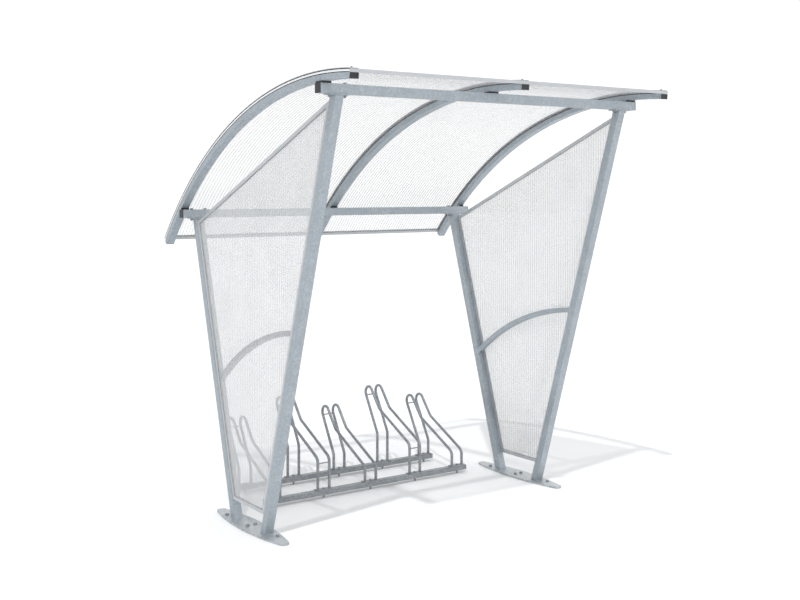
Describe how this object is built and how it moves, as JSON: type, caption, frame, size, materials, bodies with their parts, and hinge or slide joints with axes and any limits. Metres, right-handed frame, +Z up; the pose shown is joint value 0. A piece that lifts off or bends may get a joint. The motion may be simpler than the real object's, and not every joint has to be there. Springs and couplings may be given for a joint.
{
  "type": "bike shelter",
  "caption": "Open bike shelter with a curved translucent roof on V-shaped steel end frames, glazed sides and a rack of paired wheel hoops.",
  "frame": {"origin": "middle of the footprint, on the ground", "axes": "+X along the shelter, +Y from the open front towards the rack and the low side of the roof, +Z up"},
  "size_m": [2.23, 2.2074, 2.5135],
  "materials": {
    "galvanised_steel": "hot-dip galvanised, satin with faint spangle",
    "mill_aluminium": "extruded, natural anodised",
    "twinwall_polycarbonate": "clear twin-wall sheet, slightly bluish",
    "black_polyethylene": "moulded, satin",
    "epdm_rubber": "extruded, matte"
  },
  "bodies": {
    "root": {"base_plate_left": "galvanised_steel", "base_plate_right": "galvanised_steel", "post_front_left": "galvanised_steel", "post_rear_left": "galvanised_steel", "post_front_right": "galvanised_steel", "post_rear_right": "galvanised_steel", "post_flanges": "galvanised_steel", "beam_front": "galvanised_steel", "beam_rear": "galvanised_steel", "beam_end_caps": "black_polyethylene", "rafter_left": "galvanised_steel", "rafter_middle": "galvanised_steel", "rafter_right": "galvanised_steel", "rafter_end_caps": "black_polyethylene", "rafter_pads": "epdm_rubber", "rafter_gaskets": "epdm_rubber", "roof_sheet_left": "twinwall_polycarbonate", "roof_sheet_right": "twinwall_polycarbonate", "cover_seals": "epdm_rubber", "cover_strip_left": "mill_aluminium", "cover_strip_middle": "mill_aluminium", "cover_strip_right": "mill_aluminium", "roof_edge_front": "mill_aluminium", "roof_edge_rear": "mill_aluminium", "side_panel_left": "twinwall_polycarbonate", "side_panel_right": "twinwall_polycarbonate", "channel_front_left": "mill_aluminium", "channel_rear_left": "mill_aluminium", "channel_top_left": "mill_aluminium", "channel_bottom_left": "mill_aluminium", "channel_front_right": "mill_aluminium", "channel_rear_right": "mill_aluminium", "channel_top_right": "mill_aluminium", "channel_bottom_right": "mill_aluminium", "brace_left": "galvanised_steel", "brace_right": "galvanised_steel", "rack_rail_front": "galvanised_steel", "rack_rail_rear": "galvanised_steel", "rack_clamps": "galvanised_steel", "hoop_pair_1": "galvanised_steel", "hoop_pair_2": "galvanised_steel", "hoop_pair_3": "galvanised_steel", "hoop_pair_4": "galvanised_steel", "hoop_pair_5": "galvanised_steel"}
  },
  "joints": []
}
